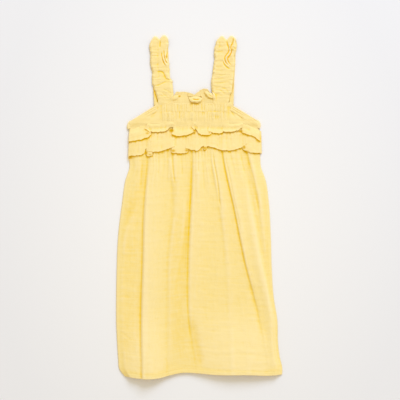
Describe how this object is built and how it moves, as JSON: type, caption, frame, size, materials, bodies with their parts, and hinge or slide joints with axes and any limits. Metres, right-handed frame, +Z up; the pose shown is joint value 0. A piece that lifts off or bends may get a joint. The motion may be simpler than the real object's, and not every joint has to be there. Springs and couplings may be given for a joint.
{
  "type": "sundress",
  "caption": "Child's cotton sundress laid flat: gathered ruffled straps, shirred bodice with a neck frill, tiered ruffles over the waist and a long gathered skirt.",
  "frame": {"origin": "on the surface that the dress lies on, under the middle of its outline", "axes": "+Y towards the straps, +X to the right as seen from above, +Z up from the surface"},
  "size_m": [0.3312, 0.6857, 0.0165],
  "materials": {
    "cotton_gauze": "matt crinkled double gauze cotton in pale yellow, sewn in matching thread"
  },
  "bodies": {
    "root": {"skirt_front": "cotton_gauze", "skirt_back": "cotton_gauze", "bodice_front": "cotton_gauze", "bodice_back": "cotton_gauze", "ruffle_upper": "cotton_gauze", "ruffle_lower": "cotton_gauze", "strap_left": "cotton_gauze", "strap_right": "cotton_gauze", "armhole_casing_left": "cotton_gauze", "armhole_casing_right": "cotton_gauze"}
  },
  "joints": []
}
